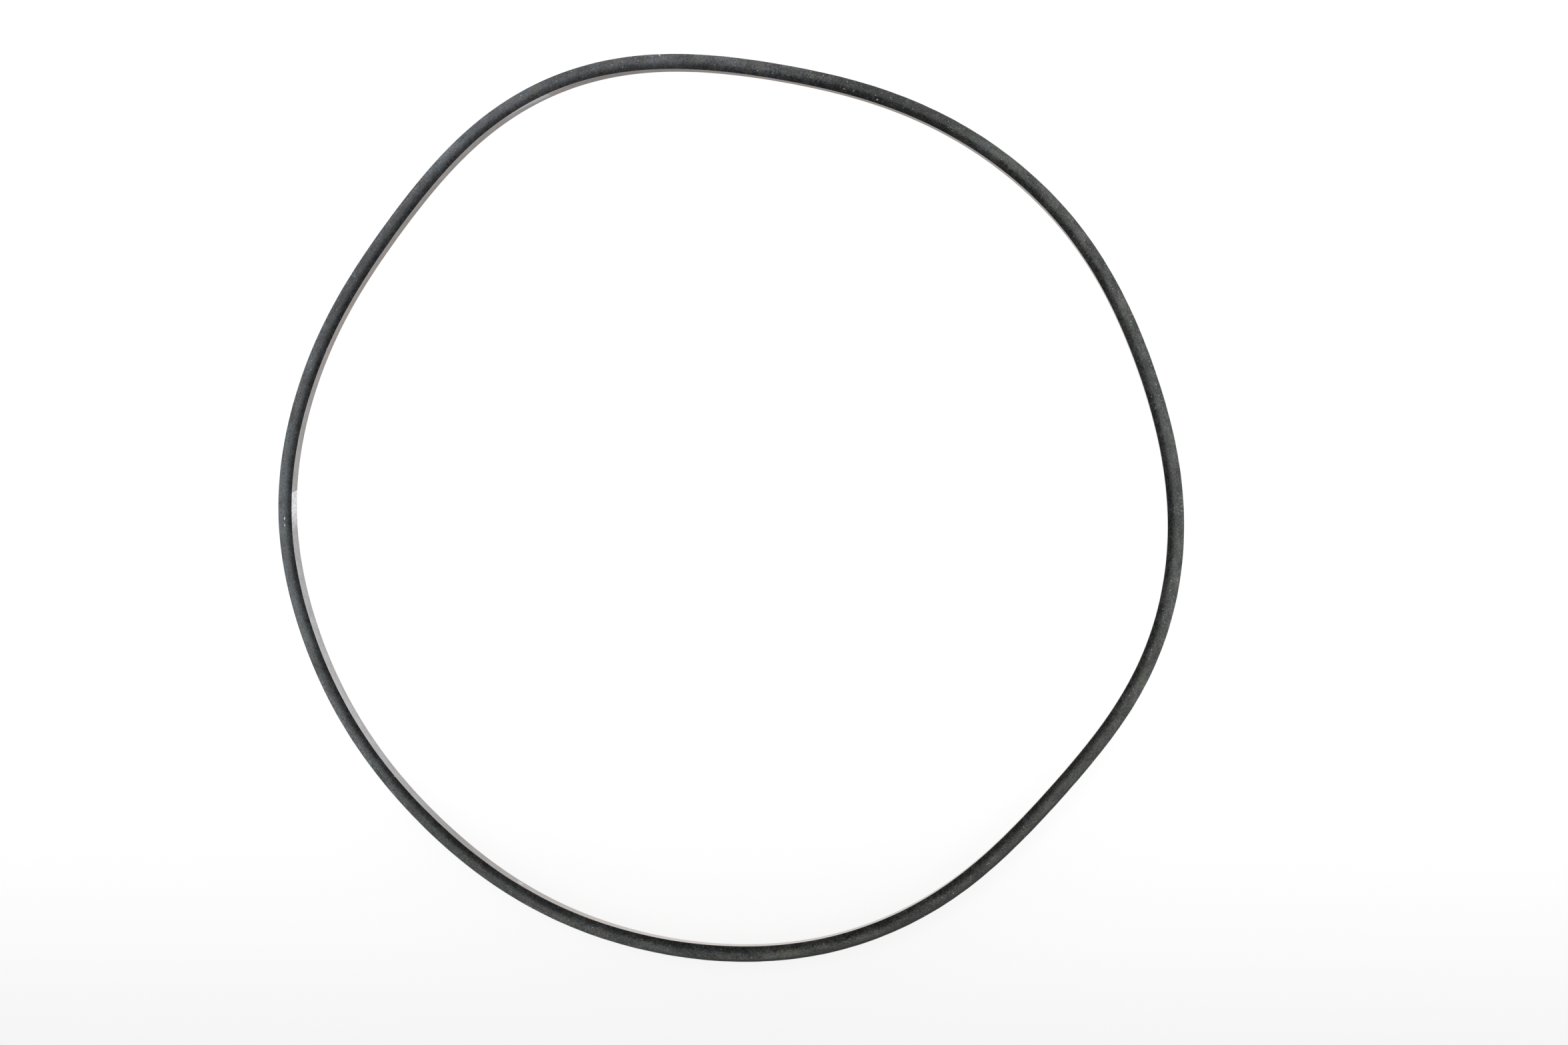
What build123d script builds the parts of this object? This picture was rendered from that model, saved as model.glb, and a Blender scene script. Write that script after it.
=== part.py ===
from build123d import *
import math
import os

# ---------------------------------------------------------------------------
# Extension housing seal: one moulded rubber ring, lying flat.
# Millimetres, +Z up.  The origin is the centre of the ring's bounding box in
# X and Y, at the level of its underside.
#
# The section is a D: a tall flat wall inside, which grips the housing's pilot,
# and a crowned outside, which the case bore squeezes.  It is mirrored about
# its mid height, where the mould halves met and left a thin flash line.
# The ring is supple, so it lies a little out of round, as a sum of gentle
# lobes on its mean radius.
# ---------------------------------------------------------------------------

# section
section_width = 2.62        # inner wall to outer land
section_height = 3.85       # underside to top
inner_edge_break = 0.07     # rounding of both inner edges
flat_width = 0.42           # level strip beside the inner wall, edge break included
shoulder_radius = 1.40      # crown beside the level strip
shoulder_angle = 38.0       # slope where the shoulder ends, degrees
flank_angle = 44.0          # slope where the flank meets the land, degrees
land_corner = 0.12          # rounding between flank and land
flash_proud = 0.12          # flash line beyond the land
flash_root = 0.12           # its height at the land
flash_tip = 0.05            # its height at the tip

# outline of the outer land, seen from above
mean_radius = 74.94
lobes = [                   # (lobe count, amplitude, direction of a crest in phase degrees)
    (1, 0.385, 123.8),
    (2, 0.490, -105.3),
    (3, 0.399, 16.6),
    (4, 0.698, 41.9),
    (5, 0.516, -121.1),
    (6, 0.602, -53.8),
    (7, 0.038, -49.5),
    (8, 0.131, -158.5),
    (9, 0.023, -118.2),
    (10, 0.024, 51.8),
    (11, 0.016, 115.4),
    (12, 0.040, 49.0),
    (13, 0.011, 172.5),
    (14, 0.013, -6.3),
]
outline_nodes = 28          # stations round the ring; two arcs join each pair

# flank radius that brings the crown out to the land in the width that is left
shoulder_a = math.radians(shoulder_angle)
flank_a = math.radians(flank_angle)
flank_run = section_width - flat_width - shoulder_radius * math.sin(shoulder_a)
flank_radius = flank_run / (math.sin(flank_a) - math.sin(shoulder_a))
crown_drop = shoulder_radius * (1 - math.cos(shoulder_a)) + flank_radius * (
    math.cos(shoulder_a) - math.cos(flank_a)
)
half = section_height / 2
land_half = half - crown_drop


def outline(angle):
    """Point and unit tangent (anticlockwise) of the land at a polar angle."""
    r = mean_radius
    dr = 0.0
    for n, amp, phase in lobes:
        arg = n * angle - math.radians(phase)
        r += amp * math.cos(arg)
        dr -= n * amp * math.sin(arg)
    c, s = math.cos(angle), math.sin(angle)
    tx, ty = dr * c - r * s, dr * s + r * c
    size = math.hypot(tx, ty)
    return (r * c, r * s), (tx / size, ty / size)


def arc_from(p, t, q):
    """Centre, radius and turn of the arc that leaves p along t and reaches q."""
    nx, ny = -t[1], t[0]                      # towards the inside of the ring
    dx, dy = q[0] - p[0], q[1] - p[1]
    radius = (dx * dx + dy * dy) / (2 * (dx * nx + dy * ny))
    centre = (p[0] + radius * nx, p[1] + radius * ny)
    turn = 2 * math.atan2(dx * nx + dy * ny, dx * t[0] + dy * t[1])
    return centre, radius, turn


def arc_chain():
    """The outline as tangent arcs: start point, start tangent, centre, radius, turn."""
    probe = [outline(2 * math.pi * i / 3600)[0] for i in range(3600)]
    cx = (min(p[0] for p in probe) + max(p[0] for p in probe)) / 2
    cy = (min(p[1] for p in probe) + max(p[1] for p in probe)) / 2
    stations = []
    for i in range(outline_nodes):
        (x, y), t = outline(2 * math.pi * i / outline_nodes)
        stations.append(((x - cx, y - cy), t))
    arcs = []
    for i in range(outline_nodes):
        p0, t0 = stations[i]
        p1, t1 = stations[(i + 1) % outline_nodes]
        vx, vy = p1[0] - p0[0], p1[1] - p0[1]
        vt = vx * (t0[0] + t1[0]) + vy * (t0[1] + t1[1])
        vv = vx * vx + vy * vy
        k = 2 * (1 - (t0[0] * t1[0] + t0[1] * t1[1]))
        d = (math.sqrt(vt * vt + k * vv) - vt) / k
        q = (
            (p0[0] + p1[0] + d * (t0[0] - t1[0])) / 2,
            (p0[1] + p1[1] + d * (t0[1] - t1[1])) / 2,
        )
        centre, radius, turn = arc_from(p0, t0, q)
        arcs.append((p0, t0, centre, radius, turn))
        tq = (
            t0[0] * math.cos(turn) - t0[1] * math.sin(turn),
            t0[0] * math.sin(turn) + t0[1] * math.cos(turn),
        )
        centre, radius, turn = arc_from(q, tq, p1)
        arcs.append((q, tq, centre, radius, turn))
    return arcs


def section_plane(p, t):
    """Upright plane across the ring: local x outwards, local y up, 0 at the land's middle."""
    return Plane(origin=(p[0], p[1], half), x_dir=(t[1], -t[0], 0), z_dir=(-t[0], -t[1], 0))


# corner positions of the section, in the section plane
x_in = -section_width
x_flat = x_in + flat_width

arcs = arc_chain()
print("arcs", len(arcs), "radii %.1f to %.1f mm" % (min(a[3] for a in arcs), max(a[3] for a in arcs)))
print("flank radius %.3f, crown drop %.3f, land height %.3f" % (flank_radius, crown_drop, 2 * land_half))
print("turn %.6f of a circle" % (sum(a[4] for a in arcs) / (2 * math.pi)))

with BuildPart() as seal_ring:
    stretches = []
    for p, t, centre, radius, turn in arcs:
        with BuildSketch(section_plane(p, t)) as across:
            with BuildLine():
                wall = Line((x_in, 0), (x_in, half))
                top = Line(wall @ 1, (x_flat, half))
                shoulder = JernArc(
                    start=top @ 1, tangent=(1, 0), radius=shoulder_radius, arc_size=-shoulder_angle
                )
                flank = JernArc(
                    start=shoulder @ 1,
                    tangent=shoulder % 1,
                    radius=flank_radius,
                    arc_size=shoulder_angle - flank_angle,
                )
                land = Line(flank @ 1, (0, flash_root / 2))
                Polyline(land @ 1, (flash_proud, flash_tip / 2), (flash_proud, 0))
                mirror(about=Plane.XZ)
            make_face()
            inner_edges = across.vertices().group_by(Axis.X)[0]
            land_edges = (
                across.vertices()
                .filter_by_position(Axis.X, -0.001, 0.001)
                .filter_by(lambda v: abs(v.Y) > land_half - 0.001)
            )
            fillet(inner_edges, inner_edge_break)
            fillet(land_edges, land_corner)
        stretches.append(
            revolve(
                across.sketch,
                axis=Axis((centre[0], centre[1], 0), (0, 0, 1)),
                revolution_arc=math.degrees(turn),
                mode=Mode.PRIVATE,
            )
        )
    add(stretches)

seal_ring.part.label = "seal_ring"
box = seal_ring.part.bounding_box()
print("box", [round(v, 3) for v in (*box.min, *box.max)])
print("solids", len(seal_ring.solids()), "faces", len(seal_ring.faces()), "volume", round(seal_ring.part.volume, 2))

os.makedirs("parts", exist_ok=True)
export_step(seal_ring.part, "parts/seal_ring.step")
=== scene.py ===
import math

import bpy
import numpy as np
from mathutils import Matrix, Vector


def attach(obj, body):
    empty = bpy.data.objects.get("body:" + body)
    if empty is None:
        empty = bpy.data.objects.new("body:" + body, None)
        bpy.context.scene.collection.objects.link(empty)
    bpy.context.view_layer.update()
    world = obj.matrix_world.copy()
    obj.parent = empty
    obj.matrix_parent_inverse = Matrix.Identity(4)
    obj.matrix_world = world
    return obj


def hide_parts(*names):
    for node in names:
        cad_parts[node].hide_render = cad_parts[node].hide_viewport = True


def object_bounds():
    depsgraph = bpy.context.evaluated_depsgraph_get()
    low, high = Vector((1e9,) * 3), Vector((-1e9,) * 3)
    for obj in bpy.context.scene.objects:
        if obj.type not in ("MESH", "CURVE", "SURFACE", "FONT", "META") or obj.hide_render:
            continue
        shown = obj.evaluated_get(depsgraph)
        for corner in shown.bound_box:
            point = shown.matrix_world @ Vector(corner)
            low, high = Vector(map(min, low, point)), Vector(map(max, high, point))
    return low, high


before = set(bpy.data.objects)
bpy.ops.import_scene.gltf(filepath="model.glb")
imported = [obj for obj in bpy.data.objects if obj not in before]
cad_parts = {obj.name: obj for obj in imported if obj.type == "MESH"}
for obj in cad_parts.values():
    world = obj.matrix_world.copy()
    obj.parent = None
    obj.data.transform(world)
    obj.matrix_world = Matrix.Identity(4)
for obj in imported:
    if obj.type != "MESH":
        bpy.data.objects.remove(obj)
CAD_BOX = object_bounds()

MM = 0.001

# ---------------------------------------------------------------------------
# The ring's own shape, in millimetres: the D section and the free outline,
# the same figures as the CAD solid's.
# ---------------------------------------------------------------------------
WIDTH, HEIGHT = 2.62, 3.85
EDGE, FLAT = 0.07, 0.42
SHOULDER_R, SHOULDER_A, FLANK_A = 1.40, math.radians(38.0), math.radians(44.0)
LAND_R = 0.12
FLASH, FLASH_ROOT, FLASH_TIP = 0.12, 0.12, 0.05
MEAN_R = 74.94
LOBES = [
    (1, 0.385, 123.8), (2, 0.490, -105.3), (3, 0.399, 16.6), (4, 0.698, 41.9),
    (5, 0.516, -121.1), (6, 0.602, -53.8), (7, 0.038, -49.5), (8, 0.131, -158.5),
    (9, 0.023, -118.2), (10, 0.024, 51.8), (11, 0.016, 115.4), (12, 0.040, 49.0),
    (13, 0.011, 172.5), (14, 0.013, -6.3),
]
# slow lean of the section round the ring, degrees; plus is the top leaning outwards.
# Bearings run anticlockwise seen from above, from +X.
TWIST = [
    (0, 0.0), (10, 0.3), (20, 0.8), (30, 0.5), (40, 1.8), (50, 1.8), (60, 0.8), (70, 0.2),
    (80, -0.8), (90, -0.5), (100, 0.0), (110, 2.2), (120, 1.8), (130, -0.2), (140, -0.9), (150, -2.1),
    (160, -1.9), (170, -1.3), (180, 0.6), (190, 1.9), (200, 2.1), (210, 2.9), (220, 1.7), (230, 2.0),
    (240, 0.4), (250, -0.9), (260, -1.7), (270, -2.1), (280, -1.0), (290, 0.1), (300, -0.3), (310, -0.8),
    (320, -1.3), (330, -0.9), (340, -0.5), (350, -0.2),
]
# the band's width beside its nominal one, mm
WIDEN = [
    (0, 0.03), (10, 0.02), (20, 0.02), (30, -0.01), (40, 0.01), (50, 0.05), (60, 0.03), (70, 0.03),
    (80, 0.02), (90, 0.02), (100, 0.09), (110, 0.01), (120, 0.01), (130, -0.01), (140, -0.02), (150, 0.00),
    (160, 0.00), (170, -0.01), (180, 0.02), (190, -0.01), (200, -0.02), (210, -0.03), (220, -0.04), (230, 0.07),
    (240, 0.02), (250, -0.02), (260, 0.00), (270, 0.03), (280, 0.01), (290, 0.01), (300, -0.06), (310, -0.06),
    (320, -0.05), (330, -0.04), (340, -0.01), (350, -0.01),
]
# how much of the flash is left on the ring
FLASH_LEFT = [(0, 0.55), (20, 0.45), (60, 0.6), (90, 0.6), (120, 0.4), (180, 0.3), (225, 0.4), (250, 0.75), (280, 0.85), (310, 0.8), (340, 0.5)]
AROUND = 1340


def outline(a):
    """Land points and outward normals at the bearings a, about the origin; build_ring centres them."""
    r = np.full_like(a, MEAN_R)
    dr = np.zeros_like(a)
    for n, amp, phase in LOBES:
        arg = n * a - math.radians(phase)
        r += amp * np.cos(arg)
        dr -= n * amp * np.sin(arg)
    c, s = np.cos(a), np.sin(a)
    p = np.stack([r * c, r * s], 1)
    t = np.stack([dr * c - r * s, dr * s + r * c], 1)
    t /= np.linalg.norm(t, axis=1)[:, None]
    return p, np.stack([t[:, 1], -t[:, 0]], 1)


def periodic(table, bearing_deg, smooth=9.0):
    """A table of (bearing, value) as a smooth closed function of the bearing."""
    b = np.array([t[0] for t in table], float)
    v = np.array([t[1] for t in table], float)
    fine = np.arange(0, 360, 1.0)
    w = np.interp(fine, np.r_[b, b[0] + 360], np.r_[v, v[0]])
    k = np.exp(-0.5 * (np.minimum(fine, 360 - fine) / smooth) ** 2)
    w = np.real(np.fft.ifft(np.fft.fft(w) * np.fft.fft(k / k.sum())))
    return np.interp(bearing_deg % 360, np.r_[fine, 360], np.r_[w, w[0]])


def arc(cx, cy, r, a0, a1, n):
    a = np.radians(np.linspace(a0, a1, n))
    return [(cx + r * math.cos(x), cy + r * math.sin(x)) for x in a]


def top_half():
    """The upper half of the section from the middle of the inner wall to the tip of the flash. x is out from the inner wall, y is up from mid height."""
    h = HEIGHT / 2
    pts = [(0.0, y) for y in np.linspace(0, h - EDGE, 9)]
    pts += arc(EDGE, h - EDGE, EDGE, 180, 90, 5)[1:]
    pts += [(FLAT * 0.62, h), (FLAT, h)]
    n = 9
    pts += arc(FLAT, h - SHOULDER_R, SHOULDER_R, 90, 90 - math.degrees(SHOULDER_A), n)[1:]
    x1 = FLAT + SHOULDER_R * math.sin(SHOULDER_A)
    y1 = h - SHOULDER_R * (1 - math.cos(SHOULDER_A))
    run = WIDTH - x1
    fr = run / (math.sin(FLANK_A) - math.sin(SHOULDER_A))
    cx, cy = x1 - fr * math.sin(SHOULDER_A), y1 - fr * math.cos(SHOULDER_A)
    cut = math.degrees(LAND_R * math.tan((math.pi / 2 - FLANK_A) / 2) / fr)
    flank = arc(cx, cy, fr, 90 - math.degrees(SHOULDER_A), 90 - math.degrees(FLANK_A) + cut, 9)
    pts += flank[1:]
    corner = (WIDTH, cy + fr * math.cos(FLANK_A))
    back = LAND_R * math.tan((math.pi / 2 - FLANK_A) / 2)
    a, b, c = np.array(flank[-1]), np.array(corner), np.array((WIDTH, corner[1] - back))
    for t in (0.33, 0.67, 1.0):
        pts.append(tuple((1 - t) ** 2 * a + 2 * t * (1 - t) * b + t * t * c))
    pts += [(WIDTH, (corner[1] - back + FLASH_ROOT / 2) / 2), (WIDTH, FLASH_ROOT / 2)]
    pts += [(WIDTH + FLASH, FLASH_TIP / 2)]
    return pts


def section():
    """The whole section, closed, from the middle of the inner wall over the top, round the land and back underneath."""
    up = top_half()
    down = [(x, -y) for x, y in reversed(up[1:])]
    return np.array(up + down, float)


def build_ring():
    sec = section()
    n_sec = len(sec)
    a = np.arange(AROUND) / AROUND * 2 * math.pi
    probe, _ = outline(np.arange(3600) / 3600 * 2 * math.pi)
    centre = (probe.min(0) + probe.max(0)) / 2
    p, nrm = outline(a)
    p = p - centre
    deg = np.degrees(a)
    lean = np.radians(periodic(TWIST, deg, 4.0))
    broad = 1.0 + periodic(WIDEN, deg, 4.0) / WIDTH
    # run of the profile, for the finish: 0 in the middle of the inner wall
    step = np.linalg.norm(np.diff(np.vstack([sec, sec[:1]]), axis=0), axis=1)
    run = np.r_[0, np.cumsum(step)[:-1]]
    # slow unevenness of a moulded, handled ring
    rng = np.random.default_rng(11)
    wave = np.zeros((AROUND, n_sec))
    for k in (23, 31, 47, 61, 89, 113, 151, 199):
        for m in (0, 1, 2):
            amp = 0.0028 / math.sqrt(1 + k / 60.0)
            ph = rng.uniform(0, 2 * math.pi, 2)
            wave += amp * rng.uniform(0.3, 1.0) * np.cos(k * a[:, None] + ph[0]) * np.cos(
                2 * math.pi * m * run[None] / step.sum() + ph[1]
            )
    # the flash line comes and goes
    is_flash = sec[:, 0] > WIDTH + 1e-6
    flash = periodic(FLASH_LEFT, deg, 4.0) + 0.09 * np.sin(17 * a) * np.sin(5 * a + 0.6) + 0.05 * np.cos(71 * a + 1.0) + 0.04 * np.cos(163 * a)
    flash = np.clip(flash, 0.06, 1.0)
    x = (np.repeat(sec[None, :, 0], AROUND, 0) - WIDTH) * broad[:, None]
    y = np.repeat(sec[None, :, 1], AROUND, 0)
    x[:, is_flash] *= flash[:, None]
    # outward normals of the section, for the waves
    d = np.roll(sec, -1, 0) - np.roll(sec, 1, 0)
    sn = np.stack([-d[:, 1], d[:, 0]], 1)
    sn /= np.linalg.norm(sn, axis=1)[:, None]
    x += (wave * sn[None, :, 0]) * (~is_flash)[None]
    y += (wave * sn[None, :, 1]) * (~is_flash)[None]
    # lean about the land's upper corner, then settle on the table
    px, py = 0.0, float(sec[sec[:, 0] > WIDTH - 1e-6][0, 1])
    c, s = np.cos(lean)[:, None], np.sin(lean)[:, None]
    dx, dy = x - px, y - py
    X = px + dx * c + dy * s
    Z = py - dx * s + dy * c
    Z -= Z.min(1)[:, None]
    Z *= np.minimum(1.0, HEIGHT / Z.max(1))[:, None]
    co = np.empty((AROUND, n_sec, 3))
    co[..., :2] = p[:, None] + nrm[:, None] * X[..., None]
    co[..., 2] = Z
    # stay inside the CAD ring's box
    lo, hi = CAD_BOX
    for ax in (0, 1, 2):
        co[..., ax] = np.clip(co[..., ax], lo[ax] / MM, hi[ax] / MM)
    verts = (co * MM).reshape(-1, 3)
    i = np.arange(AROUND)[:, None]
    j = np.arange(n_sec)[None]
    i2, j2 = (i + 1) % AROUND, (j + 1) % n_sec
    quads = np.stack(
        [
            (i * n_sec + j).ravel(),
            (i * n_sec + j2).ravel(),
            (i2 * n_sec + j2).ravel(),
            (i2 * n_sec + j).ravel(),
        ],
        1,
    )
    mesh = bpy.data.meshes.new("seal_ring_skin")
    mesh.from_pydata(verts.tolist(), [], quads.tolist())
    mesh.update()
    mesh.polygons.foreach_set("use_smooth", [True] * len(mesh.polygons))
    # where a point lies on the section: inner wall, crown (0 at the inner edge, 1 at the land), and the run round it
    on_wall = sec[:, 0] < 1e-6
    faces_on_wall = on_wall & np.roll(on_wall, -1)
    mesh.polygons.foreach_set("material_index", np.tile(faces_on_wall.astype(np.int32), AROUND))
    crown = np.clip(sec[:, 0] / WIDTH, 0, 1)
    ring = np.stack([74.0 * np.cos(a), 74.0 * np.sin(a)], 1)
    centred = np.where(run > step.sum() / 2, run - step.sum(), run)
    # how the finish varies round the ring
    data = {
        "crown": np.tile(crown, AROUND),
        "bloom": np.repeat(periodic(BLOOM, deg, 3.0), n_sec),
        "flecked": np.repeat(periodic(FLECKED, deg, 4.0), n_sec),
        "rim": np.repeat(periodic(RIM, deg, 4.0), n_sec),
        "ashen": np.repeat(periodic(ASHEN, deg, 6.0), n_sec),
        "warmth": np.repeat(periodic(WARMTH, deg, 9.0), n_sec),
        "lip": np.repeat(periodic(LIP, deg, 4.0), n_sec),
        "strip": np.repeat(periodic(STRIP, deg, 5.0), n_sec),
        "wall_warm": np.repeat(periodic(WALL_WARM, deg, 3.0), n_sec),
        "wall_dust_and_reflection": np.repeat(periodic(WALL_DUST_AND_REFLECTION, deg, 2.5), n_sec),
        "wall_dull": np.repeat(periodic(WALL_DULL, deg, 2.5), n_sec),
    }
    for name, v in data.items():
        mesh.attributes.new(name, "FLOAT", "POINT").data.foreach_set("value", v.astype(np.float32))
    pos = np.empty((AROUND, n_sec, 3), np.float32)
    pos[..., :2] = ring[:, None]
    pos[..., 2] = centred[None]
    mesh.attributes.new("ringco", "FLOAT_VECTOR", "POINT").data.foreach_set("vector", pos.ravel())
    ob = bpy.data.objects.new("seal_ring_skin", mesh)
    bpy.context.scene.collection.objects.link(ob)
    return ob


# ---------------------------------------------------------------------------
# Finish
# ---------------------------------------------------------------------------
# Bearings run anticlockwise seen from above, from +X.
# strength of the talc bloom on the crown
BLOOM = [
    (0, 0.87), (10, 1.19), (20, 1.20), (30, 1.35), (40, 1.70), (50, 1.80), (60, 0.56), (70, 0.30), (80, 0.66),
    (90, 3.10), (100, 1.76), (110, 1.98), (120, 2.00), (130, 1.67), (140, 0.91), (150, 0.30), (160, 0.81), (170, 1.44),
    (180, 1.81), (190, 2.29), (200, 1.93), (210, 2.50), (220, 1.03), (230, 0.30), (240, 1.37), (250, 1.83), (260, 0.80),
    (270, 0.48), (280, 1.60), (290, 2.03), (300, 0.61), (310, 1.71), (320, 1.08), (330, 1.04), (340, 1.44), (350, 1.79),
]
# share of bright flecks on the crown
FLECKED = [(0, 1.4), (15, 1.2), (22, 0.9), (30, 1.2), (58, 1.2), (70, 0.8), (100, 0.6), (180, 0.3), (240, 0.2), (260, 0.2), (300, 0.3), (330, 0.6), (343, 1.2)]
# how much lighter or darker the crown is made beside the land, as a factor on the bloom
RIM = [
    (0, 1.05), (10, 1.00), (20, 1.30), (30, 1.12), (40, 1.50), (50, 0.80), (60, 0.62), (70, 0.99), (80, 1.18),
    (90, 0.95), (100, 1.12), (110, 0.50), (120, 0.82), (130, 1.67), (140, 1.49), (150, 1.90), (160, 1.35), (170, 1.85),
    (180, 0.78), (190, 0.85), (200, 1.25), (210, 2.10), (220, 2.30), (230, 0.41), (240, 1.05), (250, 1.20), (260, 0.83),
    (270, 0.93), (280, 0.47), (290, 0.00), (300, 0.45), (310, 0.50), (320, 0.78), (330, 1.02), (340, 0.85), (350, 0.95),
]
# how far the land's own edge is darkened, and how much talc lies on the level strip
LIP = [(0, 0.0), (20, 0.3), (45, 0.2), (60, 0.0), (255, 0.2), (270, 0.9), (290, 1.0), (318, 1.0), (330, 0.2), (345, 0.0)]
STRIP = [(0, 0.7), (30, 0.7), (60, 0.2), (90, 0.2), (105, 0.3), (120, 1.0), (150, 1.2), (165, 0.8), (180, 0.2), (195, 0.0), (225, 0.2), (300, 0.0), (330, 0.3), (345, 0.6)]
# how warm the talc on the crown is beside its mean
WARMTH = [(0, 0.0), (60, 0.12), (80, -0.06), (105, -0.10), (120, -0.12), (135, -0.42), (165, -0.38), (180, -0.36), (195, -0.34), (210, -0.24), (225, -0.10), (240, 0.0), (270, 0.15), (300, 0.50), (315, 0.45), (345, 0.18)]
# where the talc has less green than its mean; below 0 it has more
ASHEN = [(0, -0.2), (60, 0.0), (75, 0.1), (100, 0.45), (138, 0.45), (150, 0.25), (180, 0.15), (210, 0.1), (260, -0.2), (300, -0.6), (335, -0.6)]
# talc on the inner wall together with painted reflection of the floor's light and shade beside it, how dull the wall
# is, and how warm its talc
WALL_DUST_AND_REFLECTION = [(0, 0.06), (85, -0.04), (104, -0.04), (112, 0.10), (115, 0.20), (122, 0.12), (140, 0.09), (165, 0.17), (175, 0.18), (185, 0.24), (193, 0.33), (203, 0.42), (217, 0.33), (225, 0.16), (233, 0.06), (245, 0.11), (255, 0.20), (265, 0.34), (300, 0.06)]
WALL_DULL = [(0, 0.15), (85, 0.50), (106, 0.50), (113, 0.42), (120, 0.42), (150, 0.40), (170, 0.36), (185, 0.15)]
WALL_WARM = [
    (0, 0.6), (80, 1.4), (97, 1.6), (105, 1.2), (113, 0.8), (121, 0.4), (129, 0.8), (137, 1.3), (153, 1.2),
    (161, 0.75), (169, 0.45), (177, 0.5), (185, 0.3), (193, 0.25), (209, 0.3), (217, 0.3), (225, 0.4), (233, 0.6),
    (241, 0.7), (249, 0.9), (257, 1.0), (265, 1.4), (300, 0.7),
]

MEAN_DUST, WIDE_GAIN, FINE_GAIN, GRIT_GAIN = 0.086, 0.58, 0.50, 0.56
# local marks on the crown, and a painted highlight on the rim near bearing 220: bearing, distance out from the inner
# wall (mm), radius (mm), stretch along the ring, strength
MARKS_AND_RIM_HIGHLIGHT = [
    (181.40, 1.28, 0.19, 1.8, 1.00), (181.10, 1.36, 0.12, 1.6, 0.22), (182.28, 1.35, 0.17, 1.5, 0.90),
    (182.50, 1.22, 0.10, 1.5, 0.25), (184.78, 1.41, 0.12, 1.0, 0.22), (69.44, 0.58, 0.19, 1.0, 0.60),
    (70.78, 0.38, 0.14, 1.0, 0.16), (67.94, 1.66, 0.17, 1.1, 0.38), (70.40, 1.96, 0.16, 1.3, 0.12),
    (68.66, 2.32, 0.16, 1.3, 0.16), (81.54, 1.00, 0.18, 1.8, 0.20), (132.66, 1.33, 0.15, 1.0, 0.42),
    (349.52, 1.35, 0.16, 1.3, 0.42), (359.52, 1.07, 0.16, 1.2, 0.24), (359.30, 1.72, 0.17, 1.4, 0.14),
    (35.74, 1.09, 0.15, 1.0, 0.22), (345.60, 1.31, 0.14, 1.3, 0.26), (346.00, 1.29, 0.15, 1.0, 0.28),
    (345.14, 0.82, 0.15, 1.0, 0.18), (343.30, 1.33, 0.14, 1.0, 0.18), (347.18, 1.79, 0.14, 1.8, 0.22),
    (9.54, 1.65, 0.14, 1.0, 0.22), (103.78, 1.82, 0.14, 1.0, 0.18), (49.70, 1.13, 0.15, 1.0, 0.20),
    (49.96, 1.89, 0.15, 1.4, 0.20), (98.38, 2.50, 0.24, 0.7, 1.00), (98.24, 2.28, 0.17, 0.7, 0.80),
    (219.00, 0.08, 0.12, 1.2, 0.45), (153.75, 0.30, 0.11, 1.0, 0.30), (158.30, 0.07, 0.12, 1.6, 0.25),
    # the first two entries on the line below, on the rim near bearing 220, are a painted highlight
    (220.60, 2.42, 0.36, 3.0, 0.22), (219.40, 2.10, 0.20, 2.0, 0.08), (232.30, 2.50, 0.16, 1.6, 0.22), (238.60, 2.40, 0.20, 1.2, 0.10),
]
# scuffs where the bloom is gone: bearing, distance out, half length along the ring, half width, tilt (degrees, outwards as the bearing grows), strength
SCUFFS = [
    (226.60, 2.35, 1.50, 0.22, -4, 0.70), (288.20, 2.35, 1.00, 0.20, 8, 0.55), (286.90, 2.45, 0.90, 0.14, -8, 0.45),
    (280.60, 2.05, 0.80, 0.14, 16, 0.35), (3.60, 2.30, 1.80, 0.14, 12, 0.55), (2.60, 1.95, 1.90, 0.09, 9, 0.40),
    (4.80, 2.50, 1.10, 0.10, 5, 0.50), (68.30, 1.45, 3.60, 0.85, 0, 0.45), (52.20, 2.05, 2.60, 0.08, -2, 0.75),
    (55.50, 2.20, 2.00, 0.09, 0, 0.55), (249.30, 0.55, 0.45, 0.34, 0, 0.55), (247.70, 0.75, 0.35, 0.30, 20, 0.45),
    (243.20, 0.60, 0.45, 0.30, 0, 0.50), (238.10, 0.75, 0.30, 0.34, 40, 0.60), (236.20, 0.60, 0.28, 0.36, 0, 0.60),
    (232.40, 0.62, 0.70, 0.30, 0, 0.50), (256.60, 0.62, 0.60, 0.30, 0, 0.35), (265.20, 0.85, 0.55, 0.35, -25, 0.45),
    (201.60, 1.20, 1.20, 0.75, 30, 0.40), (223.60, 1.30, 2.30, 0.55, 4, 0.40),
]


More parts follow.
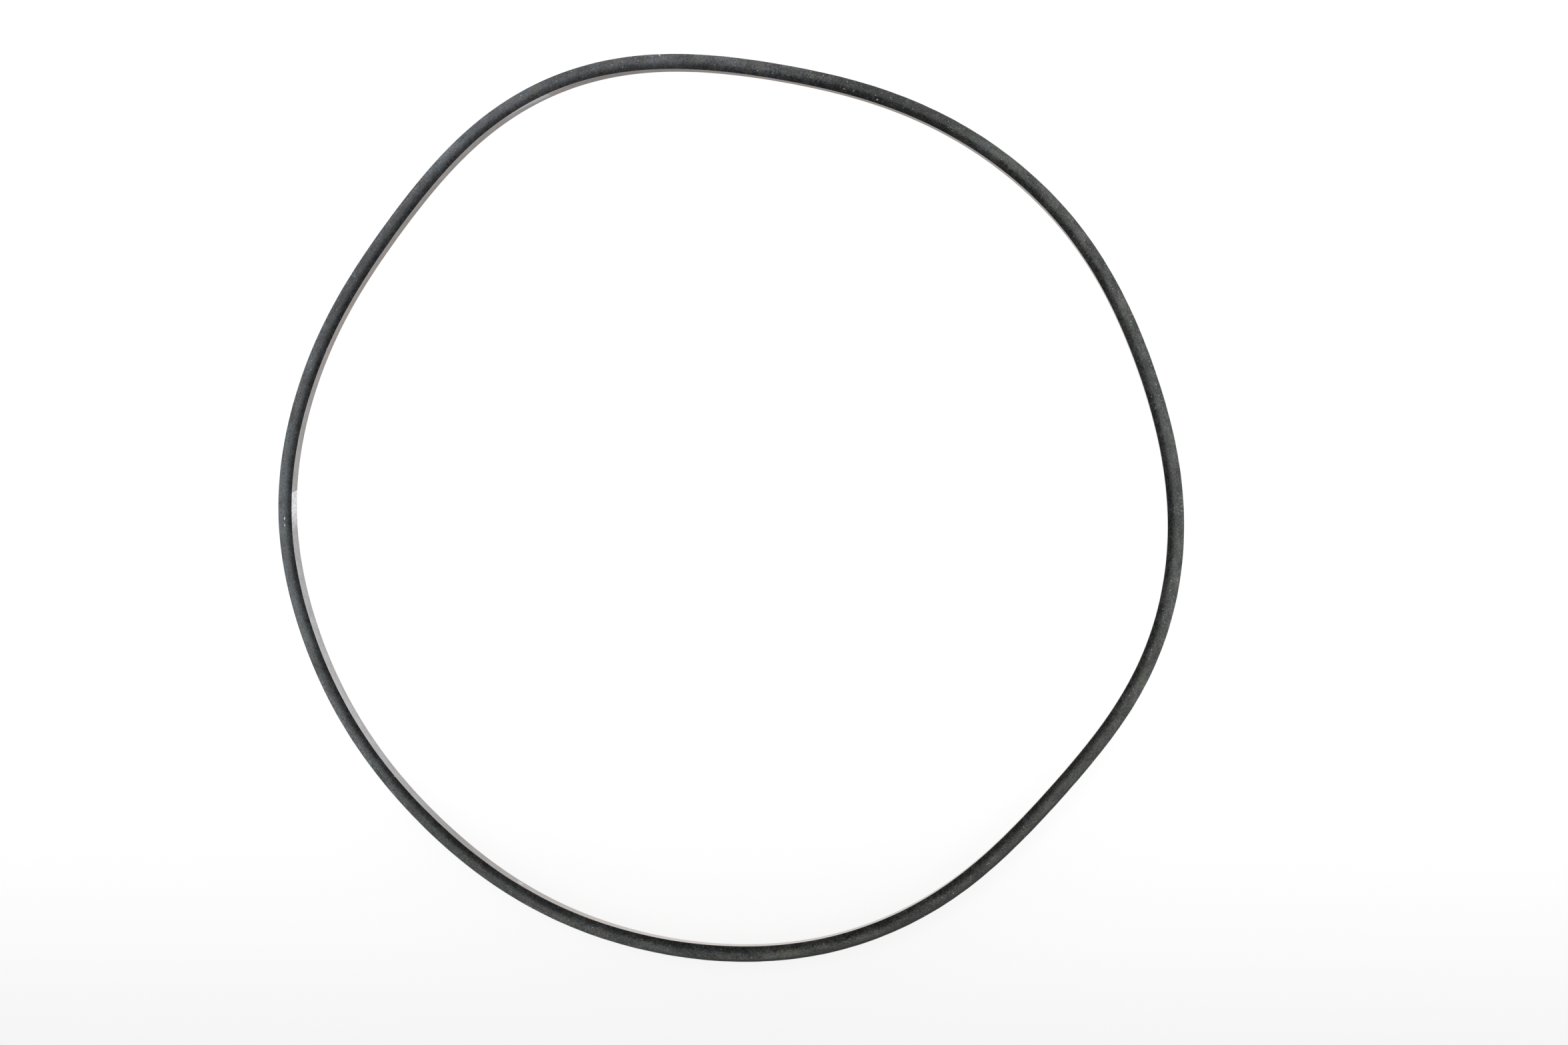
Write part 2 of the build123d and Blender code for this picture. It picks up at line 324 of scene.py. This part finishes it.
def local(N, ring, bearing, run, long, wide, tilt=0.0):
    """Distance from a place on the skin, in half lengths along and half widths across."""
    a = math.radians(bearing)
    t = math.radians(tilt)
    d = N.add("ShaderNodeVectorMath", operation="SUBTRACT")
    N.link(ring, d.inputs[0])
    d.inputs[1].default_value = (74.0 * math.cos(a), 74.0 * math.sin(a), run)
    along, across = (-math.sin(a), math.cos(a), 0.0), (0.0, 0.0, 1.0)
    first = [(along[k] * math.cos(t) + across[k] * math.sin(t)) / long for k in range(3)]
    second = [(across[k] * math.cos(t) - along[k] * math.sin(t)) / wide for k in range(3)]
    out = N.add("ShaderNodeVectorMath", operation="MULTIPLY")
    parts = []
    for way in (first, second, (math.cos(a) * 0.5, math.sin(a) * 0.5, 0.0)):
        dot = N.add("ShaderNodeVectorMath", operation="DOT_PRODUCT")
        N.link(d.outputs[0], dot.inputs[0])
        dot.inputs[1].default_value = way
        parts.append(dot.outputs["Value"])
    N.t.nodes.remove(out)
    q = N.math("MULTIPLY", parts[0], parts[0])
    q = N.math("MULTIPLY_ADD", parts[1], parts[1], q)
    q = N.math("MULTIPLY_ADD", parts[2], parts[2], q)
    return N.math("SQRT", q)


def mark(N, ring, bearing, out, size, stretch):
    """1 in the middle of a mark, 0 outside it."""
    return N.math("SUBTRACT", 1.0, N.ramp(local(N, ring, bearing, run_at(out), size * stretch, size), 0.4, 1.0))


def run_at(out):
    """Run round the section, from the middle of the inner wall, at a distance out from it on the top."""
    up = np.array(top_half())
    step = np.r_[0, np.cumsum(np.linalg.norm(np.diff(up, axis=0), axis=1))]
    on_top = up[:, 0] > 0.003
    return float(np.interp(out, up[on_top, 0], step[on_top]))


class Nodes:
    """Short hand for building a node tree."""

    def __init__(self, tree):
        self.t = tree

    def add(self, kind, **props):
        n = self.t.nodes.new(kind)
        for k, v in props.items():
            setattr(n, k, v)
        return n

    def link(self, a, b):
        self.t.links.new(a, b)

    def attr(self, name, out):
        n = self.add("ShaderNodeAttribute", attribute_name=name)
        return n.outputs[out]

    def math(self, op, a, b=None, c=None, clamp=False):
        n = self.add("ShaderNodeMath", operation=op, use_clamp=clamp)
        for i, v in enumerate((a, b, c)):
            if v is None:
                continue
            if isinstance(v, (int, float)):
                n.inputs[i].default_value = v
            else:
                self.link(v, n.inputs[i])
        return n.outputs[0]

    def ramp(self, v, lo, hi, smooth=True):
        """0 below lo, 1 above hi."""
        n = self.add("ShaderNodeMapRange", interpolation_type="SMOOTHSTEP" if smooth else "LINEAR")
        n.inputs["From Min"].default_value = lo
        n.inputs["From Max"].default_value = hi
        self.link(v, n.inputs["Value"])
        return n.outputs["Result"]

    def map(self, v, lo, hi, to_lo, to_hi):
        n = self.add("ShaderNodeMapRange", interpolation_type="LINEAR")
        n.inputs["From Min"].default_value = lo
        n.inputs["From Max"].default_value = hi
        n.inputs["To Min"].default_value = to_lo
        n.inputs["To Max"].default_value = to_hi
        self.link(v, n.inputs["Value"])
        return n.outputs["Result"]

    def noise(self, vector, scale, detail=2.0, rough=0.5, lac=2.0, distortion=0.0):
        n = self.add("ShaderNodeTexNoise", noise_dimensions="3D")
        n.inputs["Scale"].default_value = scale
        n.inputs["Detail"].default_value = detail
        n.inputs["Roughness"].default_value = rough
        n.inputs["Lacunarity"].default_value = lac
        n.inputs["Distortion"].default_value = distortion
        self.link(vector, n.inputs["Vector"])
        return n.outputs[0]

    def scaled(self, vector, s, move=(0, 0, 0)):
        n = self.add("ShaderNodeMapping")
        n.inputs["Scale"].default_value = s
        n.inputs["Location"].default_value = move
        self.link(vector, n.inputs["Vector"])
        return n.outputs[0]

    def mix(self, f, a, b):
        n = self.add("ShaderNodeMix", data_type="RGBA")
        for sock, v in ((n.inputs[0], f), (n.inputs[6], a), (n.inputs[7], b)):
            if isinstance(v, (int, float)):
                sock.default_value = v
            elif isinstance(v, tuple):
                sock.default_value = (*v, 1.0)
            else:
                self.link(v, sock)
        return n.outputs[2]


BLACK = (0.0070, 0.0073, 0.0078)
TALC_COOL = (0.485, 0.56, 0.73)
TALC_WARM = (0.705, 0.57, 0.505)


def shader(name, ior):
    m = bpy.data.materials.new(name)
    m.use_nodes = True
    m.node_tree.nodes.clear()
    N = Nodes(m.node_tree)
    out = N.add("ShaderNodeOutputMaterial")
    b = N.add("ShaderNodeBsdfPrincipled")
    N.link(b.outputs[0], out.inputs[0])
    b.inputs["IOR"].default_value = ior
    return m, N, b


def bumped(N, b, height):
    bump = N.add("ShaderNodeBump")
    bump.inputs["Strength"].default_value = 1.0
    bump.inputs["Distance"].default_value = 0.001
    N.link(height, bump.inputs["Height"])
    N.link(bump.outputs[0], b.inputs["Normal"])


def even(N, v, gain):
    """A noise as a swing about 0."""
    return N.math("MULTIPLY", N.math("SUBTRACT", v, 0.5), gain)


def crown_rubber():
    """Dull moulded rubber under a light talc bloom, for all but the inner wall."""
    m, N, b = shader("seal_rubber", 1.42)
    ring = N.attr("ringco", "Vector")      # millimetres: round the ring in x, y, round the section in z
    crown = N.attr("crown", "Fac")
    bloom = N.attr("bloom", "Fac")
    flecked = N.attr("flecked", "Fac")
    rim = N.attr("rim", "Fac")
    # the bloom thins towards the level strips beside the inner wall, with a ragged margin
    ragged = even(N, N.noise(N.scaled(ring, (0.5, 0.5, 1.0)), 0.9, 4.0, 0.6), 0.25)
    reach = N.ramp(N.math("ADD", crown, ragged), 0.02, 0.85)
    reach = N.math("ADD", N.math("MULTIPLY", reach, 0.80), 0.20)
    # an even mottle of every size, from a few centimetres to a tenth of a millimetre
    wide = even(N, N.noise(N.scaled(ring, (0.7, 0.7, 1.6)), 0.07, 3.0, 0.9), WIDE_GAIN)
    fine = even(N, N.noise(ring, 0.55, 5.0, 0.95), FINE_GAIN)
    grit = even(N, N.noise(N.scaled(ring, (1.0, 1.0, 1.0), (3, 9, 1)), 3.6, 1.0, 1.0), GRIT_GAIN)
    lvl = N.math("ADD", N.math("MULTIPLY", wide, N.math("MINIMUM", bloom, 1.4)), N.math("MULTIPLY", bloom, MEAN_DUST))
    lvl = N.math("MULTIPLY", N.math("MAXIMUM", lvl, 0.02), reach)
    # handling leaves some on the level strip too
    strip = N.math("MULTIPLY", N.math("SUBTRACT", 1.0, N.ramp(crown, 0.10, 0.34)), N.attr("strip", "Fac"))
    lvl = N.math("MULTIPLY_ADD", strip, 0.020, lvl)
    lvl = N.math("ADD", lvl, N.math("MULTIPLY", N.math("ADD", fine, grit), N.math("MULTIPLY", N.math("ADD", reach, 0.25), 0.80)))
    lvl = N.math("MAXIMUM", lvl, 0.0)
    # beside the land the bloom is scaled by the rim table, lighter in some places and darker in others
    near = N.ramp(N.math("ADD", crown, N.math("MULTIPLY", ragged, 0.10)), 0.50, 0.92)
    lvl = N.math("MULTIPLY", lvl, N.math("ADD", 1.0, N.math("MULTIPLY", near, N.math("SUBTRACT", rim, 1.0))))
    lip = N.math("MULTIPLY", N.ramp(crown, 0.84, 0.93), N.attr("lip", "Fac"))
    lvl = N.math("MULTIPLY", lvl, N.math("SUBTRACT", 1.0, lip))
    worn = None
    wobble = even(N, N.noise(ring, 1.8, 2.0, 0.6), 0.9)
    for (bearing, out, long, wide, tilt, amount) in SCUFFS:
        here = N.math("ADD", local(N, ring, bearing, run_at(out), long, wide, tilt), wobble)
        here = N.math("MULTIPLY", N.math("SUBTRACT", 1.0, N.ramp(here, 0.35, 1.05)), amount)
        worn = here if worn is None else N.math("MAXIMUM", worn, here)
    kept = N.math("SUBTRACT", 1.0, worn)
    lvl = N.math("MULTIPLY", lvl, kept)
    # loose flecks: round grains in one cell of many
    cells = N.add("ShaderNodeTexVoronoi", feature="F1", distance="EUCLIDEAN")
    cells.inputs["Scale"].default_value = 4.2
    N.link(ring, cells.inputs["Vector"])
    pick = N.add("ShaderNodeSeparateColor")
    N.link(cells.outputs["Color"], pick.inputs[0])
    drift = even(N, N.noise(N.scaled(ring, (1.0, 1.0, 1.0), (5, 2, 8)), 0.35, 3.0, 0.7), 0.30)
    chosen = N.ramp(N.math("ADD", N.math("ADD", pick.outputs[0], drift), N.math("MULTIPLY", flecked, 0.085)), 0.985, 1.0)
    grain = N.math("SUBTRACT", 1.0, N.ramp(cells.outputs["Distance"], 0.14, 0.48))
    # most are faint, a few are bright
    bright = N.math("POWER", pick.outputs[1], 3.0)
    fleck = N.math("MULTIPLY", N.math("MULTIPLY", chosen, grain), N.math("ADD", N.math("MULTIPLY", bright, 1.30), 0.06))
    fleck = N.math("MULTIPLY", fleck, N.math("ADD", N.math("MULTIPLY", N.ramp(crown, 0.14, 0.40), 0.8), 0.2))
    dust_and_painted_light = N.math("ADD", lvl, fleck)
    # talc marks, and the painted rim highlight near bearing 220
    marks_and_rim_highlight = None
    for (bearing, out, size, shape, amount) in MARKS_AND_RIM_HIGHLIGHT:
        here = mark(N, ring, bearing, out, size, shape)
        here = N.math("MULTIPLY", here, amount)
        marks_and_rim_highlight = here if marks_and_rim_highlight is None else N.math("MAXIMUM", marks_and_rim_highlight, here)
    dust_and_painted_light = N.math("MAXIMUM", dust_and_painted_light, marks_and_rim_highlight)
    tint = N.ramp(N.noise(N.scaled(ring, (1.0, 1.0, 1.0), (7, 3, 5)), 1.3, 2.0, 0.6), 0.30, 0.70)
    tint = N.math("ADD", tint, N.attr("warmth", "Fac"), clamp=True)
    talc_and_painted_light_colour = N.mix(tint, TALC_COOL, TALC_WARM)
    green = N.ramp(N.noise(N.scaled(ring, (1.0, 1.0, 1.0), (1, 8, 2)), 1.5, 2.0, 0.6), 0.36, 0.64)
    green = N.math("MULTIPLY", green, N.math("SUBTRACT", 1.0, N.attr("ashen", "Fac")))
    talc_and_painted_light_colour = N.mix(green, talc_and_painted_light_colour, N.mix(0.60, talc_and_painted_light_colour, (0.48, 0.68, 0.50)))
    # the plain marks and the painted rim highlight are whiter
    talc_and_painted_light_colour = N.mix(N.math("MINIMUM", N.math("MULTIPLY", marks_and_rim_highlight, 1.4), 1.0), talc_and_painted_light_colour, (0.88, 0.88, 0.86))
    N.link(N.mix(N.math("MINIMUM", dust_and_painted_light, 1.0), BLACK, talc_and_painted_light_colour), b.inputs["Base Color"])
    r = N.math("ADD", N.math("MULTIPLY", reach, 0.16), 0.32)
    r = N.math("ADD", r, N.math("MULTIPLY", dust_and_painted_light, 1.0))
    N.link(N.math("MINIMUM", r, 0.8), b.inputs["Roughness"])
    h = N.math("ADD", N.math("MULTIPLY", N.noise(ring, 4.2, 2.0, 0.6), 0.012), N.math("MULTIPLY", N.noise(ring, 11.0, 1.0, 0.5), 0.004))
    bumped(N, b, h)
    return m


def wall_rubber():
    """The inner wall, smooth from the mould's core, with talc wiped over it and painted reflected light and shade in
    its colour.
    """
    m, N, b = shader("seal_rubber_wall", 1.45)
    # the film of talc shows most at a glancing view
    b.inputs["Sheen Weight"].default_value = 0.30
    b.inputs["Sheen Roughness"].default_value = 0.30
    b.inputs["Sheen Tint"].default_value = (1.0, 0.80, 0.68, 1.0)
    ring = N.attr("ringco", "Vector")
    run = N.add("ShaderNodeSeparateXYZ")
    N.link(ring, run.inputs[0])
    run = run.outputs[2]
    # clouds of talc a few millimetres long, and a grain in them
    clouds = N.noise(N.scaled(ring, (0.40, 0.40, 0.40)), 1.0, 4.0, 0.7)
    grain = N.noise(N.scaled(ring, (0.9, 0.9, 0.5)), 2.4, 3.0, 0.75)
    r = N.math("ADD", N.attr("wall_dull", "Fac"), even(N, clouds, 0.20))
    r = N.math("ADD", r, even(N, grain, 0.16))
    N.link(N.math("MAXIMUM", r, 0.03), b.inputs["Roughness"])
    # the wall's talc and painted reflected light and shade, both changing round the ring from one table
    dust_and_painted_light = N.math("ADD", N.attr("wall_dust_and_reflection", "Fac"), even(N, clouds, 0.55))
    dust_and_painted_light = N.math("ADD", dust_and_painted_light, even(N, grain, 0.40))
    # painted highlight, lighter along the top edge, and painted shade, darker towards the foot
    painted_edge_highlight = N.math("MULTIPLY", N.ramp(run, 1.25, 1.85), 0.16)
    dust_and_painted_light = N.math("ADD", N.math("MAXIMUM", dust_and_painted_light, 0.0), painted_edge_highlight)
    dust_and_painted_light = N.math("MULTIPLY", dust_and_painted_light, N.map(run, -1.9, 0.2, 0.72, 1.0))
    # a caked, cracked patch that ends sharply, and a small smear
    a = math.radians(180.0)
    d = N.add("ShaderNodeVectorMath", operation="DOT_PRODUCT")
    N.link(ring, d.inputs[0])
    d.inputs[1].default_value = (-math.sin(a), math.cos(a), -0.12)
    side = N.add("ShaderNodeVectorMath", operation="DOT_PRODUCT")
    N.link(ring, side.inputs[0])
    side.inputs[1].default_value = (math.cos(a), math.sin(a), 0.0)
    ragged = even(N, N.noise(N.scaled(ring, (1.0, 1.0, 0.5), (2, 5, 1)), 1.1, 4.0, 0.7), 5.0)
    t = d.outputs["Value"]
    cake = N.math("MULTIPLY", N.ramp(t, -2.90, -2.70), N.math("SUBTRACT", 1.0, N.ramp(N.math("ADD", t, ragged), 0.0, 5.6)))
    cake = N.math("MULTIPLY", cake, N.ramp(side.outputs["Value"], 10.0, 30.0))
    chips = N.ramp(N.noise(N.scaled(ring, (0.8, 0.8, 0.40), (4, 1, 7)), 2.2, 4.0, 0.8), 0.30, 0.62)
    cake = N.math("MULTIPLY", cake, N.math("ADD", N.math("MULTIPLY", chips, 0.66), 0.40))
    smear = N.math("SUBTRACT", 1.0, N.ramp(N.math("ADD", local(N, ring, 241.10, -0.1, 0.85, 0.80, 25), even(N, grain, 0.7)), 0.2, 1.0))
    # a wiped stretch with a crisp end, lighter towards the top
    a = math.radians(113.1)
    d = N.add("ShaderNodeVectorMath", operation="DOT_PRODUCT")
    N.link(ring, d.inputs[0])
    d.inputs[1].default_value = (-math.sin(a), math.cos(a), -0.14)
    side = N.add("ShaderNodeVectorMath", operation="DOT_PRODUCT")
    N.link(ring, side.inputs[0])
    side.inputs[1].default_value = (math.cos(a), math.sin(a), 0.0)
    wiped = N.math("MULTIPLY", N.ramp(d.outputs["Value"], 0.0, 0.25), N.math("SUBTRACT", 1.0, N.ramp(d.outputs["Value"], 3.0, 11.0)))
    wiped = N.math("MULTIPLY", wiped, N.ramp(side.outputs["Value"], 10.0, 30.0))
    slant = N.ramp(N.math("SUBTRACT", run, N.math("MULTIPLY", d.outputs["Value"], 0.16)), -1.2, 0.6)
    dust_and_painted_light = N.math("ADD", dust_and_painted_light, N.math("MULTIPLY", N.math("MULTIPLY", wiped, slant), 0.26))
    dust_and_painted_light = N.math("MAXIMUM", dust_and_painted_light, N.math("MAXIMUM", cake, N.math("MULTIPLY", smear, 0.80)))
    warm = N.math("ADD", N.attr("wall_warm", "Fac"), even(N, N.noise(N.scaled(ring, (0.8, 0.8, 0.5), (9, 2, 4)), 1.0, 3.0, 0.7), 0.75), clamp=True)
    warm = N.math("MULTIPLY", warm, N.math("SUBTRACT", 1.0, N.math("MULTIPLY", cake, 0.6)))
    warm = N.math("MULTIPLY", warm, N.math("SUBTRACT", 1.0, N.math("MULTIPLY", wiped, 0.85)))
    talc_and_painted_light_colour = N.mix(warm, (0.58, 0.62, 0.68), (0.72, 0.60, 0.52))
    N.link(N.mix(N.math("MINIMUM", dust_and_painted_light, 1.0), BLACK, talc_and_painted_light_colour), b.inputs["Base Color"])
    bumped(N, b, N.math("MULTIPLY", grain, 0.004))
    return m


def white_floor():
    m = bpy.data.materials.new("studio_white")
    m.use_nodes = True
    N = Nodes(m.node_tree)
    b = m.node_tree.nodes["Principled BSDF"]
    b.inputs["Base Color"].default_value = (0.20, 0.20, 0.20, 1)
    b.inputs["Roughness"].default_value = 0.55
    b.inputs["IOR"].default_value = 1.3
    b.inputs["Emission Color"].default_value = (1.0, 1.0, 1.0, 1)
    # a little less light on the near side
    at = N.add("ShaderNodeTexCoord")
    where = N.add("ShaderNodeSeparateXYZ")
    N.link(at.outputs["Object"], where.inputs[0])
    N.link(N.map(where.outputs[1], -0.110, -0.030, 0.74, 0.95), b.inputs["Emission Strength"])
    return m


# ---------------------------------------------------------------------------
# Scene
# ---------------------------------------------------------------------------
ring = build_ring()
ring.data.materials.append(crown_rubber())
ring.data.materials.append(wall_rubber())
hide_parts("seal_ring")
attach(ring, "root")

floor_mesh = bpy.data.meshes.new("floor")
F = 4.0
floor_mesh.from_pydata([(-F, -F, 0), (F, -F, 0), (F, F, 0), (-F, F, 0)], [], [(0, 1, 2, 3)])
floor = bpy.data.objects.new("floor", floor_mesh)
floor.location = (0, 0, -0.00002)
bpy.context.scene.collection.objects.link(floor)
floor.data.materials.append(white_floor())

cam_data = bpy.data.cameras.new("camera")
cam = bpy.data.objects.new("camera", cam_data)
bpy.context.scene.collection.objects.link(cam)
cam_data.sensor_fit = "HORIZONTAL"
cam_data.sensor_width = 22.3
cam_data.lens = 5273.0 / 2352.0 * 22.3
cam_data.clip_start, cam_data.clip_end = 0.01, 50.0
right = Vector((0.9954632, 0.0, -0.0951473))
up = Vector((-0.0002526, 0.9999965, -0.0026430))
back = Vector((0.0951470, 0.0026550, 0.9954597))
rot = Matrix((right, up, back)).transposed()
cam.matrix_world = Matrix.Translation(Vector((65.2330, -0.9577, 582.6587)) * MM) @ rot.to_4x4()
bpy.context.scene.camera = cam

world = bpy.data.worlds.new("studio")
bpy.context.scene.world = world
world.use_nodes = True
wt = world.node_tree
wt.nodes.clear()
W = Nodes(wt)
wo = W.add("ShaderNodeOutputWorld")
bg = W.add("ShaderNodeBackground")
W.link(bg.outputs[0], wo.inputs[0])
tc = W.add("ShaderNodeTexCoord")
way = W.add("ShaderNodeSeparateXYZ")
W.link(tc.outputs["Generated"], way.inputs[0])
turn = W.math("ARCTAN2", way.outputs[1], way.outputs[0])
turn = W.math("MULTIPLY", turn, 1 / (2 * math.pi))
turn = W.math("WRAP", turn, 1.0, 0.0)
# soft light of the studio: by bearing (every 45 degrees from +X, anticlockwise) at four heights, and dark overhead
SKY = [
    (0.00, [2.2, 2.2, 2.2, 2.2, 2.2, 1.8, 0.3, 1.9]),
    (0.20, [3.0, 2.5, 1.2, 3.0, 3.0, 2.0, 0.5, 2.2]),
    (0.45, [1.4, 0.1, 0.0, 0.1, 0.3, 0.0, 0.0, 0.0]),
    (0.70, [1.3, 0.0, 0.0, 2.5, 1.6, 0.7, 0.0, 0.9]),
]
OVERHEAD = 0.1
sky = None
last = 0.0
for height, values in SKY + [(0.90, [OVERHEAD] * 8)]:
    r = W.add("ShaderNodeValToRGB")
    r.name = "sky_%03d" % round(height * 100)
    W.link(turn, r.inputs[0])
    e = r.color_ramp.elements
    for k in range(9):
        v = values[k % 8] / 4
        if k == 0:
            x = e[0]
        elif k == 8:
            x = e[len(e) - 1]
        else:
            x = e.new(k / 8)
        x.position = k / 8
        x.color = (v, v, v, 1)
    if sky is None:
        sky = r.outputs[0]
    else:
        t = W.map(way.outputs[2], last, height, 0.0, 1.0)
        sky = W.mix(t, sky, r.outputs[0])
    last = height
W.link(sky, bg.inputs[0])
bg.inputs[1].default_value = 4.0

bpy.context.scene.view_settings.view_transform = "Standard"
